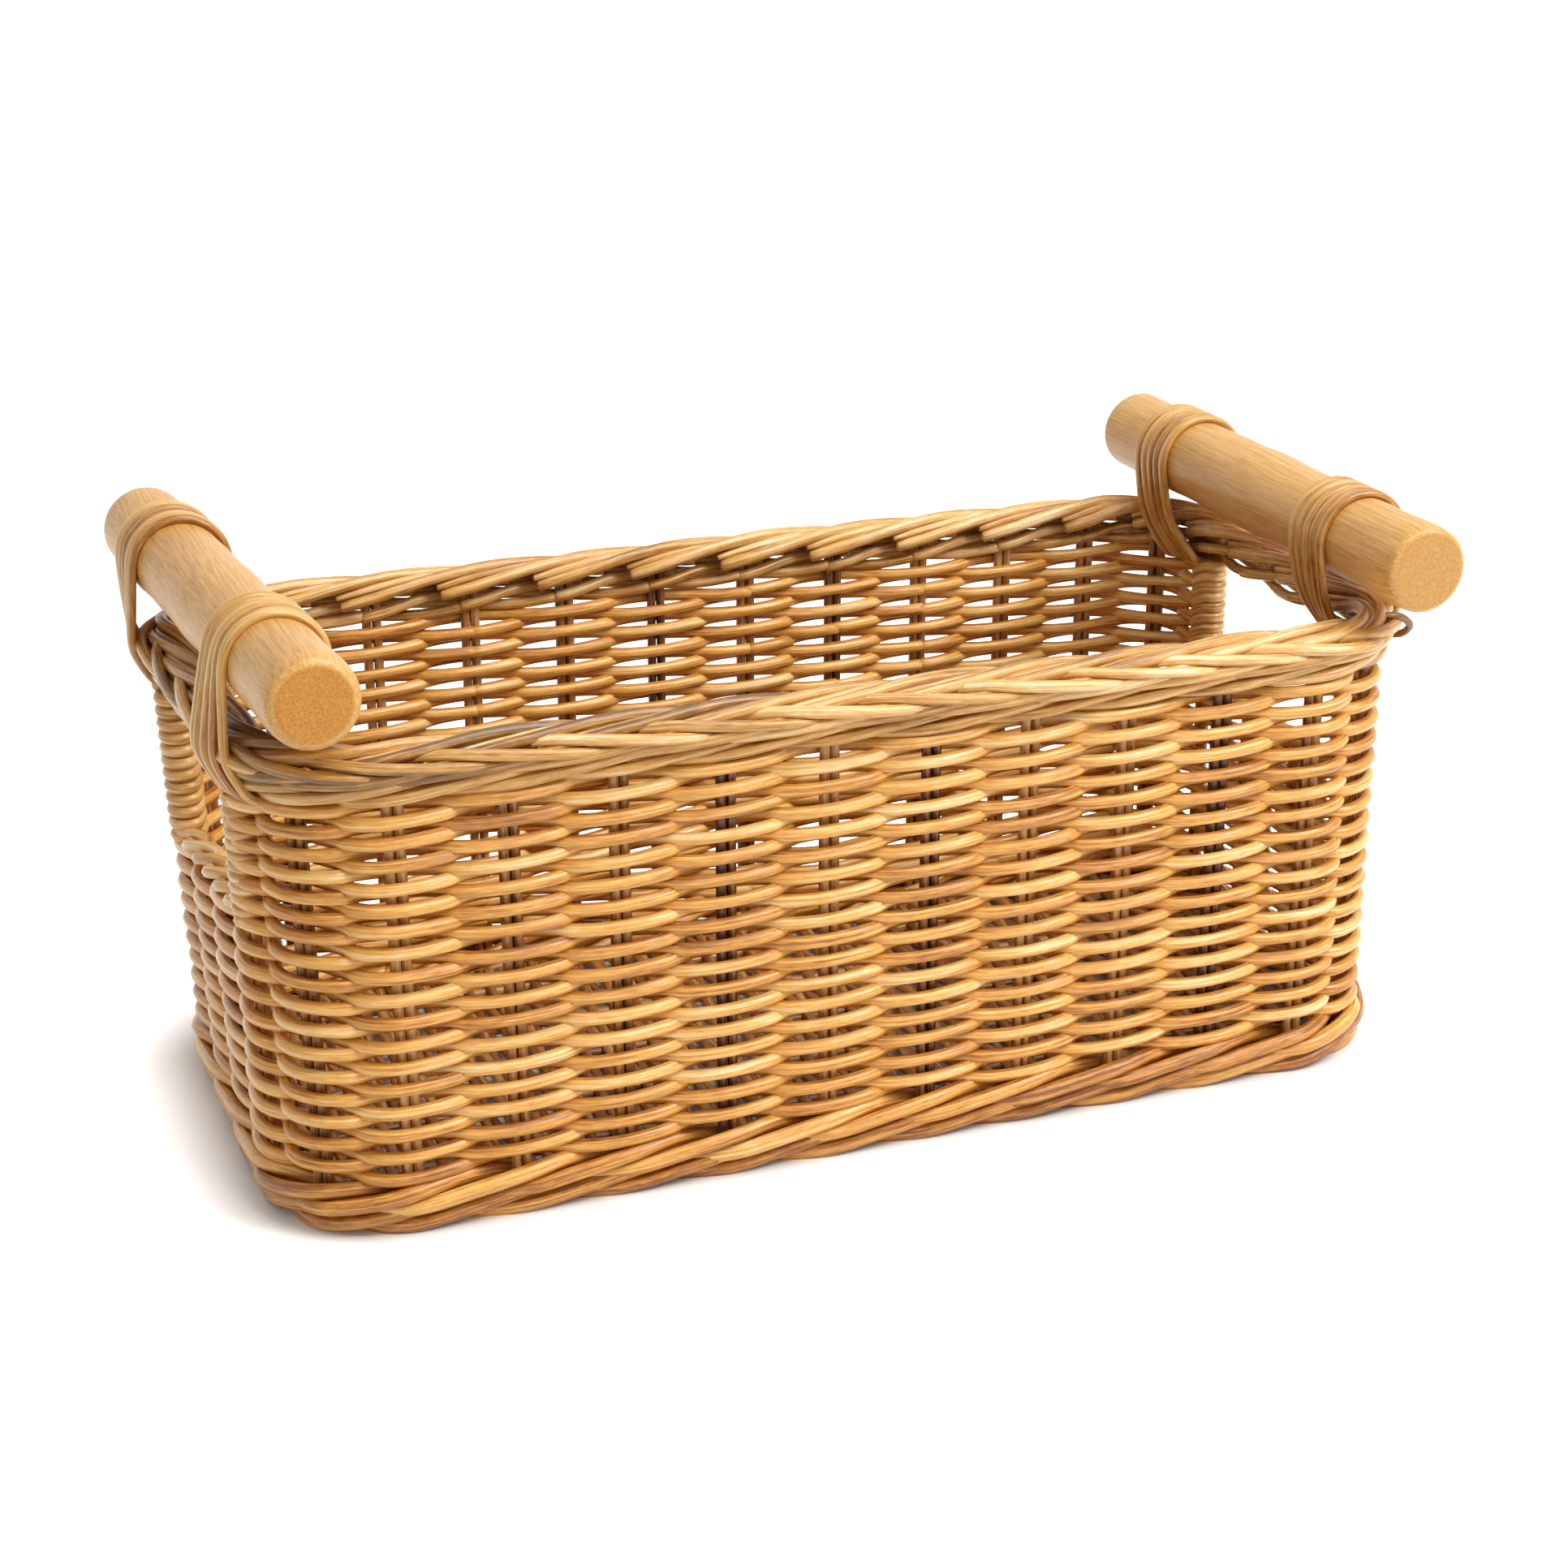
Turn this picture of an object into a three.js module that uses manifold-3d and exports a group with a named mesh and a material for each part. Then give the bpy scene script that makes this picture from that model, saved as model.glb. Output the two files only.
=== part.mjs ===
// Woven storage basket: an open rectangular basket with rounded corners, woven round pairs of upright
// stakes, with a rolled border, a hand hole in each short wall and a round pole lashed over each hole.
// Millimetres. +X runs along the length, -Y is the front, +Z is up. The origin is under the middle of
// the foot.
import * as THREE from "three";
import { mergeVertices } from "three/addons/utils/BufferGeometryUtils.js";
import Module from "manifold-3d";

const wasm = await Module();
wasm.setup();

// Plan of the walls, to the line on which the stakes stand
const wallHalfLength = 190;
const wallHalfWidth = 84;
const cornerRadius = 36;

// Clearance between pieces that touch
const clearance = 0.3;

// Stakes: pairs of round rods side by side
const rodDiameter = 3.5;
const rodGap = 0.2;
const longWallPairs = 10;
const holePairs = 2;
const cornerPairs = 4;
const postPairs = 4;

// Foot border: two thick strands rolled round the foot
const footHeight = 16;
const footHalfThickness = 7;
const footFloor = 3;
const footPress = 1.5;

// Woven rows of the walls, each as high as two strands: at every pair of stakes one passes outside
const rowHeight = 7.3;
const lowerRows = 10;
const upperRows = 7;
const rowCrest = 5.5;
const rowValley = 3.2;

// Hand holes and the wrapped posts at their sides
const holeHalfWidth = 44.5;
const postHalfWidth = 6.5;
const postGroove = 0.9;
const postWraps = 12;
const sillHeight = 3.7;
const sillHalfThickness = 5.2;
const sillTwist = 14.6;

// Rim: a waling round the top of the walls and the rolled border on it
const walingHeight = 6;
const walingHalfThickness = 6;
const borderHeight = 11.7;
const borderHalfThickness = 8;

// Base panel and the sticks that carry it
const baseLift = 2.5;
const baseThickness = 6;
const baseRowRise = 1.8;
const stickDiameter = 4;
const stickCount = 5;
const stickSpacing = 30;
const stickSeat = 3.5;

// Poles, one over each short wall
const poleDiameter = 28.5;
const poleRise = 5.8;
const poleInset = 7;
const poleOverhang = 17;
const poleEndRound = 2.4;

// Lashings that tie the poles to the rim, each one length of cane
const caneDiameter = 3.3;
const canePitch = 3.9;
const caneTurns = 5;
const caneBend = 2.6;
const frontLashingInset = 33;
const backLashingInset = 24.5;

// Strands that show on the rings: the lobes of a ring's section, the share of it by which the
// grooves between them are deep, its faces, and for each stroke the pairs of stakes that it passes
// and the stops along it
const footStrands = { lobes: 2, relief: 0.12, sides: 8, pairs: 2, steps: 4 };
const walingStrands = { lobes: 2, relief: 0.12, sides: 6, pairs: 2, steps: 4 };
const borderStrands = { lobes: 3, relief: 0.16, sides: 9, pairs: 1, steps: 3 };
const sillStrands = { lobes: 2, relief: 0.12, sides: 6, steps: 12 };

// Faces round the curves
const cornerSteps = 5;
const caneSides = 6;
const bendPoints = 3;
const overPoints = 9;
const poleSides = 24;
const poleEdgeSteps = 3;
const postSides = 6;
const stickSides = 8;

// How far a cutting tool reaches past what it cuts, and how near points are that are merged
const cutMargin = 1;
const mergeReach = 1e-4;

// Levels that follow from the heights
const lowerBottom = footHeight + clearance;
const lowerTop = lowerBottom + lowerRows * rowHeight;
const upperBottom = lowerTop + clearance;
const upperTop = upperBottom + upperRows * rowHeight;
const walingBottom = upperTop + clearance;
const walingTop = walingBottom + walingHeight;
const borderBottom = walingTop + clearance;
const borderTop = borderBottom + borderHeight;
const borderMiddle = (borderBottom + borderTop) / 2;
const poleRadius = poleDiameter / 2;
const poleLevel = borderTop + poleRise + poleRadius;
const poleX = wallHalfLength - poleInset;
const caneRadius = caneDiameter / 2;
const caneLevel = walingBottom - clearance - caneRadius;
const slotFloor = caneLevel - caneRadius - clearance;

// Places that follow from the plan
const pairHalfWidth = rodDiameter + rodGap / 2;
const straightX = wallHalfLength - cornerRadius;
const straightY = wallHalfWidth - cornerRadius;
const postY = holeHalfWidth + postHalfWidth;
const pairSpacing = (2 * straightX) / (longWallPairs - 1);
const panelEnd = postY + postHalfWidth + clearance;
const pairCount = 2 * longWallPairs + 2 * holePairs + cornerPairs + postPairs;
const poleHalfLength = wallHalfWidth + poleOverhang;
const frontLashing = frontLashingInset - wallHalfWidth;
const backLashing = wallHalfWidth - backLashingInset;
const beyond = wallHalfLength + wallHalfWidth;

const cane = { color: 0xc99a5b, roughness: 0.45, metalness: 0 };
const weaveFinish = { color: 0xc08a48, roughness: 0.5, metalness: 0 };
const darkWeaveFinish = { color: 0xa8743a, roughness: 0.55, metalness: 0 };
const rimFinish = { color: 0xcfa468, roughness: 0.5, metalness: 0 };
const stakeFinish = { color: 0x7a5230, roughness: 0.6, metalness: 0 };
const poleFinish = { color: 0xd3a465, roughness: 0.4, metalness: 0 };

const basket = new THREE.Group();

function addPiece(name, geometry, finish) {
  const mesh = new THREE.Mesh(geometry, new THREE.MeshStandardMaterial(finish));
  mesh.name = name;
  basket.add(mesh);
}

// Geometry to a solid that can be cut, and back
function toSolid(geometry) {
  const bare = geometry.clone();
  bare.deleteAttribute("normal");
  bare.deleteAttribute("uv");
  const merged = mergeVertices(bare, mergeReach);
  return new wasm.Manifold(
    new wasm.Mesh({
      numProp: 3,
      vertProperties: new Float32Array(merged.attributes.position.array),
      triVerts: new Uint32Array(merged.index.array),
    }),
  );
}

function toGeometry(solid) {
  const mesh = solid.getMesh();
  const geometry = new THREE.BufferGeometry();
  geometry.setAttribute("position", new THREE.BufferAttribute(mesh.vertProperties, 3));
  geometry.setIndex(new THREE.BufferAttribute(mesh.triVerts, 1));
  geometry.computeVertexNormals();
  return geometry;
}

function cut(solid, tools) {
  return tools.reduce((left, tool) => left.subtract(tool), solid);
}

function boxBetween(low, high) {
  const box = new THREE.BoxGeometry(high[0] - low[0], high[1] - low[1], high[2] - low[2]);
  box.translate((low[0] + high[0]) / 2, (low[1] + high[1]) / 2, (low[2] + high[2]) / 2);
  return toSolid(box);
}

// X of the line that runs outside the stakes' line by an offset, on the right-hand short wall
function lineX(y, offset) {
  const past = Math.max(0, Math.abs(y) - straightY);
  return straightX + Math.sqrt((cornerRadius + offset) ** 2 - past ** 2);
}

// A place on the stakes' line, a share of the way round from the middle of the right-hand wall,
// with the direction that points outwards there
const cornerLength = (Math.PI * cornerRadius) / 2;
const runs = [
  { length: straightY, from: [wallHalfLength, 0], turn: 0 },
  { length: cornerLength, centre: [straightX, straightY], turn: 0 },
  { length: 2 * straightX, from: [straightX, wallHalfWidth], turn: 1 },
  { length: cornerLength, centre: [-straightX, straightY], turn: 1 },
  { length: 2 * straightY, from: [-wallHalfLength, straightY], turn: 2 },
  { length: cornerLength, centre: [-straightX, -straightY], turn: 2 },
  { length: 2 * straightX, from: [-straightX, -wallHalfWidth], turn: 3 },
  { length: cornerLength, centre: [straightX, -straightY], turn: 3 },
  { length: straightY, from: [wallHalfLength, -straightY], turn: 4 },
];
const lineLength = runs.reduce((sum, run) => sum + run.length, 0);

function placeOn(run, along) {
  const quarter = (run.turn * Math.PI) / 2;
  if (run.centre) {
    const angle = quarter + along / cornerRadius;
    const nx = Math.cos(angle);
    const ny = Math.sin(angle);
    return { x: run.centre[0] + cornerRadius * nx, y: run.centre[1] + cornerRadius * ny, nx, ny };
  }
  const nx = Math.cos(quarter);
  const ny = Math.sin(quarter);
  return { x: run.from[0] - ny * along, y: run.from[1] + nx * along, nx, ny };
}

// Stops for a ring with a plain section: the ends of the straights and steps round the corners
function plainStops() {
  const stops = [];
  for (const run of runs) {
    const steps = run.centre ? cornerSteps : 1;
    for (let i = 0; i < steps; i++) {
      stops.push(placeOn(run, (run.length * i) / steps));
    }
  }
  stops.push(placeOn(runs[0], 0));
  return stops;
}

// Stops at even steps, for a ring whose strands wind round it
function evenStops(count) {
  const stops = [];
  for (let i = 0; i <= count; i++) {
    let along = (lineLength * (i % count)) / count;
    let k = 0;
    while (along > runs[k].length && k < runs.length - 1) {
      along -= runs[k].length;
      k += 1;
    }
    stops.push({ ...placeOn(runs[k], along), share: i / count });
  }
  return stops;
}

// A ring that follows the walls: the lathe's radius becomes the offset from the stakes' line
function wallRing(profile, stops, shape) {
  const ring = new THREE.LatheGeometry(profile, stops.length - 1);
  const places = ring.attributes.position;
  for (let i = 0; i < places.count; i++) {
    const stop = stops[Math.floor(i / profile.length)];
    const point = shape(profile[i % profile.length], stop);
    places.setXYZ(i, stop.x + stop.nx * point.x, stop.y + stop.ny * point.x, point.y);
  }
  return ring;
}

// A ring of strands laid round each other: its section is an oval whose lobes turn along the ring,
// so that a stroke of a strand crosses the outside once for every so many pairs of stakes
function strandRing({ middle, halfHeight, halfThickness, lobes, relief, sides, pairs, steps, floor }) {
  const strokes = Math.round(pairCount / pairs);
  const profile = [];
  for (let i = 0; i <= sides; i++) {
    const angle = (2 * Math.PI * ((i % sides) + 0.5)) / sides;
    profile.push(new THREE.Vector2(Math.cos(angle), Math.sin(angle)));
  }
  return wallRing(profile, evenStops(strokes * steps), (point, stop) => {
    const turned = Math.atan2(point.y, point.x) * lobes + 2 * Math.PI * strokes * stop.share;
    const scale = 1 - relief * (0.5 - 0.5 * Math.cos(turned));
    const height = Math.max(floor, middle + halfHeight * scale * point.y);
    return new THREE.Vector2(halfThickness * scale * point.x, height);
  });
}

// Walls of woven rows: each row stands out at its middle, inside and outside
function rowRing(bottom, rows) {
  const profile = [];
  for (let i = 0; i <= 2 * rows; i++) {
    profile.push(new THREE.Vector2(i % 2 ? rowCrest : rowValley, bottom + (i * rowHeight) / 2));
  }
  for (let i = 2 * rows; i >= 0; i--) {
    profile.push(new THREE.Vector2(i % 2 ? -rowCrest : -rowValley, bottom + (i * rowHeight) / 2));
  }
  profile.push(profile[0].clone());
  return wallRing(profile, plainStops(), (point) => point);
}

// Section of a pair of rods, with a margin for the channel that it stands in
function pairSection(margin) {
  const wide = pairHalfWidth + margin;
  const thick = rodDiameter / 2 + margin;
  const flat = wide - thick;
  const section = new THREE.Shape();
  section.moveTo(wide, 0);
  section.lineTo(flat, thick);
  section.lineTo(-flat, thick);
  section.lineTo(-wide, 0);
  section.lineTo(-flat, -thick);
  section.lineTo(flat, -thick);
  section.closePath();
  return section;
}

// A pair of stakes, or its channel, upright at its place on the stakes' line
function upright(place, bottom, top, margin) {
  const settings = { depth: top - bottom, bevelEnabled: false, steps: 1 };
  const post = new THREE.ExtrudeGeometry(pairSection(margin), settings);
  post.rotateZ(Math.atan2(place.ny, place.nx) - Math.PI / 2);
  post.translate(place.x, place.y, bottom);
  return post;
}

// Where the pairs of stakes stand and how high each reaches
const stakeFoot = footFloor;
const stakeTop = borderMiddle;
const sillStakeTop = lowerTop - clearance;
const postStakeTop = slotFloor - clearance;
const stakes = [];
for (let i = 0; i < longWallPairs; i++) {
  const x = -straightX + i * pairSpacing;
  const number = String(i + 1).padStart(2, "0");
  for (const [wall, ny] of [["front", -1], ["back", 1]]) {
    const place = { x, y: ny * wallHalfWidth, nx: 0, ny };
    stakes.push({ name: `stake_pair_${wall}_${number}`, ...place, top: stakeTop });
  }
}
for (const [side, sx] of [["left", -1], ["right", 1]]) {
  for (const [end, sy] of [["front", -1], ["back", 1]]) {
    const nx = sx * Math.SQRT1_2;
    const ny = sy * Math.SQRT1_2;
    const x = sx * straightX + cornerRadius * nx;
    const y = sy * straightY + cornerRadius * ny;
    stakes.push({ name: `stake_pair_corner_${end}_${side}`, x, y, nx, ny, top: stakeTop });
    const post = { x: sx * lineX(postY, 0), y: sy * postY, nx: sx, ny: 0 };
    stakes.push({ name: `stake_pair_post_${end}_${side}`, ...post, top: postStakeTop });
  }
  for (let i = 0; i < holePairs; i++) {
    const y = postY * ((2 * (i + 1)) / (holePairs + 1) - 1);
    const place = { x: sx * wallHalfLength, y, nx: sx, ny: 0 };
    stakes.push({ name: `stake_pair_${side}_${i + 1}`, ...place, top: sillStakeTop });
  }
}

// Channels of the stakes between two levels, for the stakes that reach above the lower one
function channels(bottom, top) {
  return stakes
    .filter((stake) => stake.top > bottom)
    .map((stake) => toSolid(upright(stake, bottom, top, clearance)));
}

for (const stake of stakes) {
  addPiece(stake.name, upright(stake, stakeFoot + clearance, stake.top, 0), stakeFinish);
}

// Base sticks, lying along the length, and their channels
const sticks = [];
for (let i = 0; i < stickCount; i++) {
  const y = (i - (stickCount - 1) / 2) * stickSpacing;
  sticks.push({ name: `base_stick_${i + 1}`, y, reach: lineX(y, -footHalfThickness) + stickSeat });
}
const stickLevel = baseLift + baseThickness / 2;

function lyingStick(stick, margin) {
  const radius = stickDiameter / 2 + margin;
  const rod = new THREE.CylinderGeometry(radius, radius, 2 * (stick.reach + margin), stickSides);
  rod.rotateZ(Math.PI / 2);
  rod.translate(0, stick.y, stickLevel);
  return rod;
}

for (const stick of sticks) {
  addPiece(stick.name, lyingStick(stick, 0), stakeFinish);
}
const stickChannels = sticks.map((stick) => toSolid(lyingStick(stick, clearance)));

// Base panel: rows across the basket that stand out above and below, cut to the inside of the foot
// border
function basePanel() {
  const inset = footHalfThickness + clearance;
  const halfLength = wallHalfLength - inset;
  const halfWidth = wallHalfWidth - inset;
  const radius = cornerRadius - inset;
  const outline = new THREE.Shape();
  outline.moveTo(halfLength, -halfWidth + radius);
  outline.absarc(halfLength - radius, halfWidth - radius, radius, 0, Math.PI / 2);
  outline.absarc(-halfLength + radius, halfWidth - radius, radius, Math.PI / 2, Math.PI);
  outline.absarc(-halfLength + radius, -halfWidth + radius, radius, Math.PI, 1.5 * Math.PI);
  outline.absarc(halfLength - radius, -halfWidth + radius, radius, 1.5 * Math.PI, 2 * Math.PI);
  const depth = baseThickness + 2 * baseRowRise;
  const settings = { depth, bevelEnabled: false, curveSegments: cornerSteps };
  const slab = new THREE.ExtrudeGeometry(outline, settings);
  slab.translate(0, 0, baseLift - baseRowRise);
  const rows = Math.round(halfLength / rowHeight);
  const step = halfLength / rows;
  const side = new THREE.Shape();
  side.moveTo(-halfLength - cutMargin, baseLift);
  for (let i = -2 * rows; i <= 2 * rows; i++) {
    side.lineTo((i * step) / 2, baseLift - (i % 2 ? baseRowRise : 0));
  }
  side.lineTo(halfLength + cutMargin, baseLift);
  side.lineTo(halfLength + cutMargin, baseLift + baseThickness);
  for (let i = 2 * rows; i >= -2 * rows; i--) {
    side.lineTo((i * step) / 2, baseLift + baseThickness + (i % 2 ? baseRowRise : 0));
  }
  side.lineTo(-halfLength - cutMargin, baseLift + baseThickness);
  side.closePath();
  const width = 2 * (halfWidth + cutMargin);
  const ribbed = new THREE.ExtrudeGeometry(side, { depth: width, bevelEnabled: false });
  ribbed.rotateX(Math.PI / 2);
  ribbed.translate(0, width / 2, 0);
  return cut(toSolid(slab).intersect(toSolid(ribbed)), stickChannels);
}

addPiece("base_weave", toGeometry(basePanel()), darkWeaveFinish);

// Foot border
const footMiddle = (footHeight - footPress) / 2;
const foot = toSolid(
  strandRing({
    middle: footMiddle,
    halfHeight: footHeight - footMiddle,
    halfThickness: footHalfThickness,
    floor: 0,
    ...footStrands,
  }),
);
const footCuts = [...channels(stakeFoot, footHeight + cutMargin), ...stickChannels];
addPiece("foot_border", toGeometry(cut(foot, footCuts)), weaveFinish);

// Lower walls, all the way round
const lower = toSolid(rowRing(lowerBottom, lowerRows));
const lowerCuts = channels(lowerBottom - cutMargin, lowerTop + cutMargin);
addPiece("lower_weave", toGeometry(cut(lower, lowerCuts)), weaveFinish);

// Upper walls: a front and a back panel that end at the wrapped posts, notched for the lashings
const upperCuts = channels(upperBottom - cutMargin, upperTop + cutMargin);
const upper = cut(toSolid(rowRing(upperBottom, upperRows)), upperCuts);
const slotHalfLength = (caneTurns * canePitch) / 2 + caneRadius + clearance;
const slotFront = frontLashing - slotHalfLength;
const slotBack = backLashing + slotHalfLength;
const frontSlot = boxBetween([-beyond, slotFront, slotFloor], [beyond, 0, beyond]);
const backSlot = boxBetween([-beyond, 0, slotFloor], [beyond, slotBack, beyond]);
const frontHalf = boxBetween([-beyond, -beyond, 0], [beyond, -panelEnd, beyond]);
const backHalf = boxBetween([-beyond, panelEnd, 0], [beyond, beyond, beyond]);
addPiece("upper_weave_front", toGeometry(upper.intersect(frontHalf).subtract(frontSlot)), weaveFinish);
addPiece("upper_weave_back", toGeometry(upper.intersect(backHalf).subtract(backSlot)), weaveFinish);

// Posts at the sides of the hand holes, wrapped with cane from the sill to the rim
function wrappedPost(place) {
  const bottom = upperBottom;
  const wrap = (slotFloor - bottom) / postWraps;
  const profile = [new THREE.Vector2(0, bottom)];
  for (let i = 0; i <= 2 * postWraps; i++) {
    const radius = i % 2 ? postHalfWidth : postHalfWidth - postGroove;
    profile.push(new THREE.Vector2(radius, bottom + (i * wrap) / 2));
  }
  profile.push(new THREE.Vector2(0, slotFloor));
  const post = new THREE.LatheGeometry(profile, postSides);
  post.rotateX(Math.PI / 2);
  post.rotateZ(Math.PI / postSides);
  post.scale(1, 1 / Math.cos(Math.PI / postSides), 1);
  post.translate(place.x, place.y, 0);
  const channel = upright(place, bottom - cutMargin, beyond, clearance);
  return toGeometry(toSolid(post).subtract(toSolid(channel)));
}

for (const stake of stakes.filter((one) => one.name.includes("post"))) {
  addPiece(stake.name.replace("stake_pair_post", "wrapped_post"), wrappedPost(stake), rimFinish);
}

// Sill caps: two strands twisted along the bottom of each hand hole
function sillCap(side) {
  const length = 2 * (holeHalfWidth - clearance);
  const { lobes, relief, sides, steps } = sillStrands;
  const cap = new THREE.CylinderGeometry(1, 1, length, sides, steps);
  cap.rotateY(Math.PI / sides);
  const places = cap.attributes.position;
  const middle = upperBottom + sillHeight / 2;
  for (let i = 0; i < places.count; i++) {
    const round = Math.hypot(places.getX(i), places.getZ(i));
    const along = places.getY(i);
    const angle = Math.atan2(places.getZ(i), places.getX(i));
    const turned = lobes * angle + (2 * Math.PI * along) / sillTwist;
    const scale = round * (1 - relief * (0.5 - 0.5 * Math.cos(turned)));
    const out = sillHalfThickness * scale * Math.cos(angle);
    const up = (sillHeight / 2) * scale * Math.sin(angle);
    places.setXYZ(i, side * wallHalfLength + out, along, middle + up);
  }
  return cap;
}

addPiece("sill_cap_left", sillCap(-1), rimFinish);
addPiece("sill_cap_right", sillCap(1), rimFinish);

// Waling round the top of the walls
const waling = toSolid(
  strandRing({
    middle: (walingBottom + walingTop) / 2,
    halfHeight: walingHeight / 2,
    halfThickness: walingHalfThickness,
    floor: 0,
    ...walingStrands,
  }),
);
const walingCuts = channels(walingBottom - cutMargin, walingTop + cutMargin);
addPiece("top_waling", toGeometry(cut(waling, walingCuts)), weaveFinish);

// Rolled border: one stroke crosses it at each pair of stakes, three strokes round its section
const border = toSolid(
  strandRing({
    middle: borderMiddle,
    halfHeight: borderHeight / 2,
    halfThickness: borderHalfThickness,
    floor: 0,
    ...borderStrands,
  }),
);
const borderSeats = channels(borderBottom - cutMargin, borderMiddle + clearance);
addPiece("rolled_border", toGeometry(cut(border, borderSeats)), rimFinish);

// Poles: round, with flat ends whose edges are eased
function pole(side) {
  const half = [new THREE.Vector2(0, -poleHalfLength)];
  for (let i = 0; i <= poleEdgeSteps; i++) {
    const angle = ((i / poleEdgeSteps) * Math.PI) / 2;
    const radius = poleRadius - poleEndRound * (1 - Math.sin(angle));
    half.push(new THREE.Vector2(radius, -poleHalfLength + poleEndRound * (1 - Math.cos(angle))));
  }
  const otherHalf = half.map((point) => new THREE.Vector2(point.x, -point.y)).reverse();
  const rod = new THREE.LatheGeometry([...half, ...otherHalf], poleSides);
  rod.translate(side * poleX, 0, poleLevel);
  return rod;
}

addPiece("pole_left", pole(-1), poleFinish);
addPiece("pole_right", pole(1), poleFinish);

// The belt of three rounds that a turn of cane follows at one place along the rim: up outside the
// rim, over the pole and down inside. Each round has a centre across and up, a radius and a count.
function turnRounds(upY, downY) {
  const away = borderHalfThickness + clearance + caneRadius;
  const outer = lineX(upY, away) - caneBend;
  const inner = lineX(downY, -away) + caneBend;
  const level = caneLevel + caneBend;
  const poleRound = poleRadius + clearance + caneRadius;
  return [
    { across: outer, up: level, radius: caneBend, points: bendPoints },
    { across: poleX, up: poleLevel, radius: poleRound, points: overPoints },
    { across: inner, up: level, radius: caneBend, points: bendPoints },
  ];
}

// Direction that points away from the belt on the straight run from one round to the next
function runNormal(from, to) {
  const across = to.across - from.across;
  const up = to.up - from.up;
  return Math.atan2(up, across) - Math.acos((from.radius - to.radius) / Math.hypot(across, up));
}

// Middle line of one lashing: full turns side by side, each moving over by one pitch as it crosses
// the pole. Both ends are tucked straight into the slot under the rim.
function canePath(side, middle) {
  const points = [];
  const start = middle - (caneTurns * canePitch) / 2;
  const tuck = caneDiameter + caneBend;
  for (let turn = 0; turn < caneTurns; turn++) {
    const upY = start + turn * canePitch;
    const downY = upY + canePitch;
    const rounds = turnRounds(upY, downY);
    const down = -Math.PI / 2;
    const up = runNormal(rounds[0], rounds[1]);
    const over = runNormal(rounds[1], rounds[2]);
    const spans = [[down, up], [up, over], [over, 2 * Math.PI + down]];
    if (turn === 0) {
      points.push(new THREE.Vector3(side * (rounds[0].across - tuck), upY, caneLevel));
    }
    rounds.forEach((round, which) => {
      const [from, to] = spans[which];
      const turnBy = (((to - from) % (2 * Math.PI)) + 2 * Math.PI) % (2 * Math.PI);
      for (let i = 0; i < round.points; i++) {
        const share = i / (round.points - 1);
        const angle = from + turnBy * share;
        const across = round.across + round.radius * Math.cos(angle);
        const y = which === 0 ? upY : which === 2 ? downY : upY + canePitch * share;
        points.push(new THREE.Vector3(side * across, y, round.up + round.radius * Math.sin(angle)));
      }
    });
    if (turn === caneTurns - 1) {
      points.push(new THREE.Vector3(side * (rounds[2].across + tuck), downY, caneLevel));
    }
  }
  return points;
}

// A round strand along a middle line, with flat ends
function strandAlong(points, radius, sides) {
  const places = [];
  const faces = [];
  const last = points.length - 1;
  points.forEach((point, i) => {
    const before = points[Math.max(0, i - 1)];
    const after = points[Math.min(last, i + 1)];
    const ahead = after.clone().sub(before).normalize();
    const across = new THREE.Vector3(0, 1, 0).cross(ahead).normalize();
    const beside = ahead.clone().cross(across);
    for (let k = 0; k < sides; k++) {
      const angle = (2 * Math.PI * k) / sides;
      const place = point.clone();
      place.addScaledVector(across, radius * Math.cos(angle));
      place.addScaledVector(beside, radius * Math.sin(angle));
      places.push(place.x, place.y, place.z);
      if (i < last) {
        const a = i * sides + k;
        const b = i * sides + ((k + 1) % sides);
        faces.push(a, b, b + sides, a, b + sides, a + sides);
      }
    }
  });
  for (let k = 1; k < sides - 1; k++) {
    const end = last * sides;
    faces.push(0, k + 1, k, end, end + k, end + k + 1);
  }
  const strand = new THREE.BufferGeometry();
  strand.setAttribute("position", new THREE.BufferAttribute(new Float32Array(places), 3));
  strand.setIndex(faces);
  strand.computeVertexNormals();
  return strand;
}

// Least gap between one turn of a strand and another, from points a millimetre apart. Points that
// are near each other along the strand don't count.
const sameTurn = 6;

function leastGap(points, diameter) {
  const samples = [];
  let run = 0;
  for (let i = 1; i < points.length; i++) {
    const length = points[i].distanceTo(points[i - 1]);
    const steps = Math.ceil(length);
    for (let k = 0; k < steps; k++) {
      const share = k / steps;
      samples.push({ place: points[i - 1].clone().lerp(points[i], share), run: run + length * share });
    }
    run += length;
  }
  let least = Infinity;
  samples.forEach((a, i) => {
    for (const b of samples.slice(i + 1)) {
      if (b.run - a.run > sameTurn * diameter) {
        least = Math.min(least, a.place.distanceTo(b.place) - diameter);
      }
    }
  });
  return least;
}

for (const [side, sx] of [["left", -1], ["right", 1]]) {
  for (const [end, middle] of [["front", frontLashing], ["back", backLashing]]) {
    const path = canePath(sx, middle);
    const name = `lashing_${end}_${side}`;
    console.log(`${name}: least gap ${leastGap(path, caneDiameter).toFixed(2)} mm`);
    addPiece(name, strandAlong(path, caneRadius, caneSides), cane);
  }
}

export default basket;
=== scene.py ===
import math

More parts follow.
